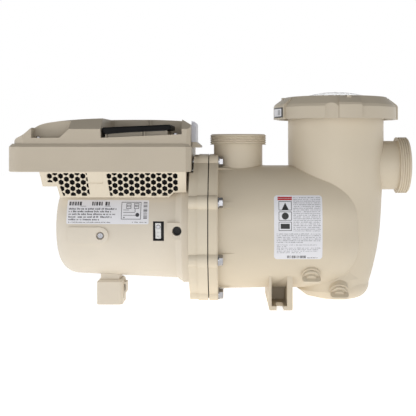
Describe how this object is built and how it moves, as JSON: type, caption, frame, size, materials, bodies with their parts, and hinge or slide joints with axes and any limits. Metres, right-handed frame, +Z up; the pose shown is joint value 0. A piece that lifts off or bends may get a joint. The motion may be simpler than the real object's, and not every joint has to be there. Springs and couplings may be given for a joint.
{
  "type": "pool circulation pump with electronic drive",
  "caption": "Pool circulation pump: clamped clear strainer lid, volute with top discharge and end suction ports, bolted seal plate, motor and speed drive with keypad.",
  "frame": {"origin": "centre of the footprint box at the level of the slab", "axes": "+X along the shaft from the motor to the suction port, +Z up, +Y to the far side"},
  "size_m": [0.656, 0.242, 0.356],
  "materials": {
    "housing_plastic": "fine-grained almond moulding",
    "ring_plastic": "almond moulding, a little greyer",
    "drive_plastic": "almond moulding",
    "basket_plastic": "natural polypropylene",
    "clear_plastic": "clear polycarbonate",
    "translucent_plastic": "milky translucent",
    "seal_rubber": "matt",
    "stainless": "bright stainless",
    "bearing_steel": "ground",
    "core_steel": "stacked laminations",
    "winding_copper": "varnished copper wire",
    "cast_aluminium": "as cast",
    "seal_ceramic": "lapped",
    "black_moulding": "glass-filled",
    "screen_mesh": "open mesh",
    "lug_metal": "tinned",
    "cover_black": "gloss black",
    "panel_grey": "satin",
    "display_glass": "polished",
    "button_rubber": "matt",
    "board_laminate": "laminate",
    "capacitor_can": "sleeved",
    "label_film": "printed film",
    "label_black": "printed film"
  },
  "bodies": {
    "pump": {"bonding_lug": "lug_metal", "control_board": "board_laminate", "diffuser": "black_moulding", "diffuser_o_ring": "seal_rubber", "display_window": "display_glass", "drive_cover": "drive_plastic", "drive_cover_screws": "stainless", "drive_gasket": "seal_rubber", "drive_saddle": "drive_plastic", "drive_shroud": "drive_plastic", "drive_tray": "drive_plastic", "dust_screen": "screen_mesh", "end_lens": "translucent_plastic", "flange_bolts": "stainless", "flange_washers": "stainless", "foot_clip": "housing_plastic", "front_bearing": "bearing_steel", "heat_sink": "cast_aluminium", "keypad_hinge_pin": "stainless", "keypad_panel": "panel_grey", "motor_foot": "housing_plastic", "motor_housing": "housing_plastic", "motor_screws": "stainless", "nameplate_label": "label_film", "power_capacitors": "capacitor_can", "pump_housing": "housing_plastic", "rear_bearing": "bearing_steel", "safety_label": "label_film", "seal_plate": "housing_plastic", "seal_plate_gasket": "seal_rubber", "sensor_port_plug": "black_moulding", "shaft_seal_seat": "seal_ceramic", "stator_core": "core_steel", "stator_frame": "cast_aluminium", "stator_windings": "winding_copper", "terminal_liner": "black_moulding"},
    "lid": {"strainer_lid": "clear_plastic", "lid_o_ring": "seal_rubber"},
    "clamp_ring": {"clamp_ring": "ring_plastic", "ring_label": "label_black"},
    "basket": {"strainer_basket": "basket_plastic"},
    "rotor": {"rotor_shaft": "stainless", "rotor_core": "core_steel", "cooling_fan": "black_moulding", "shaft_seal_head": "seal_ceramic", "impeller": "black_moulding", "impeller_nut": "black_moulding"},
    "plug_seal_1": {"drain_plug_o_ring_1": "seal_rubber"},
    "plug_1": {"drain_plug_1": "housing_plastic"},
    "plug_seal_2": {"drain_plug_o_ring_2": "seal_rubber"},
    "plug_2": {"drain_plug_2": "housing_plastic"},
    "keypad_cover": {"keypad_cover": "cover_black"},
    "button_down": {"button_down": "button_rubber"},
    "button_menu": {"button_menu": "button_rubber"},
    "button_speed_1": {"button_speed_1": "button_rubber"},
    "button_speed_2": {"button_speed_2": "button_rubber"},
    "button_speed_3": {"button_speed_3": "button_rubber"},
    "button_speed_4": {"button_speed_4": "button_rubber"},
    "button_start_stop": {"button_start_stop": "button_rubber"},
    "button_up": {"button_up": "button_rubber"}
  },
  "joints": [
    {"name": "rotor_spin", "type": "hinge", "parent": "pump", "child": "rotor", "pos_m": [0, 0, 0.13], "axis": [1, 0, 0], "continuous": true},
    {"name": "lid_lift", "type": "slide", "parent": "pump", "child": "lid", "axis": [0, 0, 1], "range_m": [0, 0.42]},
    {"name": "ring_turn", "type": "hinge", "parent": "lid", "child": "clamp_ring", "pos_m": [0.207, 0, 0.33], "axis": [0, 0, 1], "range_deg": [0, 40]},
    {"name": "basket_lift", "type": "slide", "parent": "pump", "child": "basket", "axis": [0, 0, 1], "range_m": [0, 0.2184]},
    {"name": "keypad_cover_hinge", "type": "hinge", "parent": "pump", "child": "keypad_cover", "pos_m": [-0.11368, 0.012, 0.29129], "axis": [-0.999, 0, -0.0436], "range_deg": [0, 100]},
    {"name": "plug_1_travel", "type": "slide", "parent": "pump", "child": "plug_seal_1", "axis": [0, -0.788, -0.6157], "range_m": [0, 0.012]},
    {"name": "plug_1_turn", "type": "hinge", "parent": "plug_seal_1", "child": "plug_1", "pos_m": [0.1575, -0.084, 0.057], "axis": [0, -0.788, -0.6157], "range_deg": [0, 1440]},
    {"name": "plug_2_travel", "type": "slide", "parent": "pump", "child": "plug_seal_2", "axis": [0, -0.788, -0.6157], "range_m": [0, 0.012]},
    {"name": "plug_2_turn", "type": "hinge", "parent": "plug_seal_2", "child": "plug_2", "pos_m": [0.205, -0.062, 0.028], "axis": [0, -0.788, -0.6157], "range_deg": [0, 1440]},
    {"name": "button_down_press", "type": "slide", "parent": "pump", "child": "button_down", "axis": [0.0436, 0, -0.999], "range_m": [0, 0.0008], "stiffness_N_per_m": 300, "springref_m": -0.001},
    {"name": "button_menu_press", "type": "slide", "parent": "pump", "child": "button_menu", "axis": [0.0436, 0, -0.999], "range_m": [0, 0.0008], "stiffness_N_per_m": 300, "springref_m": -0.001},
    {"name": "button_speed_1_press", "type": "slide", "parent": "pump", "child": "button_speed_1", "axis": [0.0436, 0, -0.999], "range_m": [0, 0.0008], "stiffness_N_per_m": 300, "springref_m": -0.001},
    {"name": "button_speed_2_press", "type": "slide", "parent": "pump", "child": "button_speed_2", "axis": [0.0436, 0, -0.999], "range_m": [0, 0.0008], "stiffness_N_per_m": 300, "springref_m": -0.001},
    {"name": "button_speed_3_press", "type": "slide", "parent": "pump", "child": "button_speed_3", "axis": [0.0436, 0, -0.999], "range_m": [0, 0.0008], "stiffness_N_per_m": 300, "springref_m": -0.001},
    {"name": "button_speed_4_press", "type": "slide", "parent": "pump", "child": "button_speed_4", "axis": [0.0436, 0, -0.999], "range_m": [0, 0.0008], "stiffness_N_per_m": 300, "springref_m": -0.001},
    {"name": "button_start_stop_press", "type": "slide", "parent": "pump", "child": "button_start_stop", "axis": [0.0436, 0, -0.999], "range_m": [0, 0.0008], "stiffness_N_per_m": 300, "springref_m": -0.001},
    {"name": "button_up_press", "type": "slide", "parent": "pump", "child": "button_up", "axis": [0.0436, 0, -0.999], "range_m": [0, 0.0008], "stiffness_N_per_m": 300, "springref_m": -0.001}
  ],
  "couplings": [
    {"joint": "basket_lift", "follows": "lid_lift", "ratio": 0.52},
    {"joint": "plug_1_turn", "follows": "plug_1_travel", "rad_per_m": 2094.4},
    {"joint": "plug_2_turn", "follows": "plug_2_travel", "rad_per_m": 2094.4}
  ]
}
